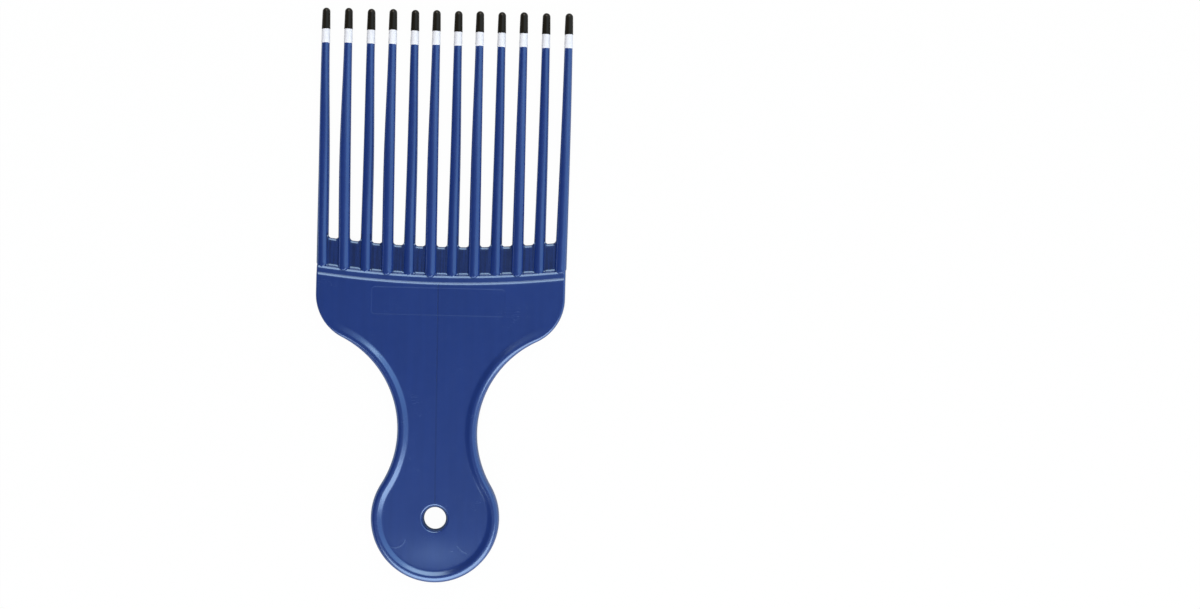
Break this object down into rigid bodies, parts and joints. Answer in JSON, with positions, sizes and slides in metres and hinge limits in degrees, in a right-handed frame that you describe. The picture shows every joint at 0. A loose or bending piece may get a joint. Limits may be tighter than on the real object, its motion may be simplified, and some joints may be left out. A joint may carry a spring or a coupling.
{
  "type": "afro pick comb",
  "caption": "One-piece moulded wide-tooth hair pick with a rimmed, waisted handle, a hanging hole in its round end and two-coat dipped tooth tips.",
  "frame": {"origin": "under the middle of the whole comb, on the surface that it lies on, back face down", "axes": "+X across the comb, +Y along the comb from the handle to the tooth tips, +Z out of the front face"},
  "size_m": [0.0726, 0.165, 0.005],
  "materials": {
    "blue_plastic": "gloss, as moulded",
    "white_coat": "satin dip coat",
    "black_coat": "gloss dip coat"
  },
  "bodies": {
    "root": {"comb_body": "blue_plastic", "tooth_01": "blue_plastic", "tooth_02": "blue_plastic", "tooth_03": "blue_plastic", "tooth_04": "blue_plastic", "tooth_05": "blue_plastic", "tooth_06": "blue_plastic", "tooth_07": "blue_plastic", "tooth_08": "blue_plastic", "tooth_09": "blue_plastic", "tooth_10": "blue_plastic", "tooth_11": "blue_plastic", "tooth_12": "blue_plastic", "white_band_01": "white_coat", "white_band_02": "white_coat", "white_band_03": "white_coat", "white_band_04": "white_coat", "white_band_05": "white_coat", "white_band_06": "white_coat", "white_band_07": "white_coat", "white_band_08": "white_coat", "white_band_09": "white_coat", "white_band_10": "white_coat", "white_band_11": "white_coat", "white_band_12": "white_coat", "black_tip_01": "black_coat", "black_tip_02": "black_coat", "black_tip_03": "black_coat", "black_tip_04": "black_coat", "black_tip_05": "black_coat", "black_tip_06": "black_coat", "black_tip_07": "black_coat", "black_tip_08": "black_coat", "black_tip_09": "black_coat", "black_tip_10": "black_coat", "black_tip_11": "black_coat", "black_tip_12": "black_coat"}
  },
  "joints": []
}
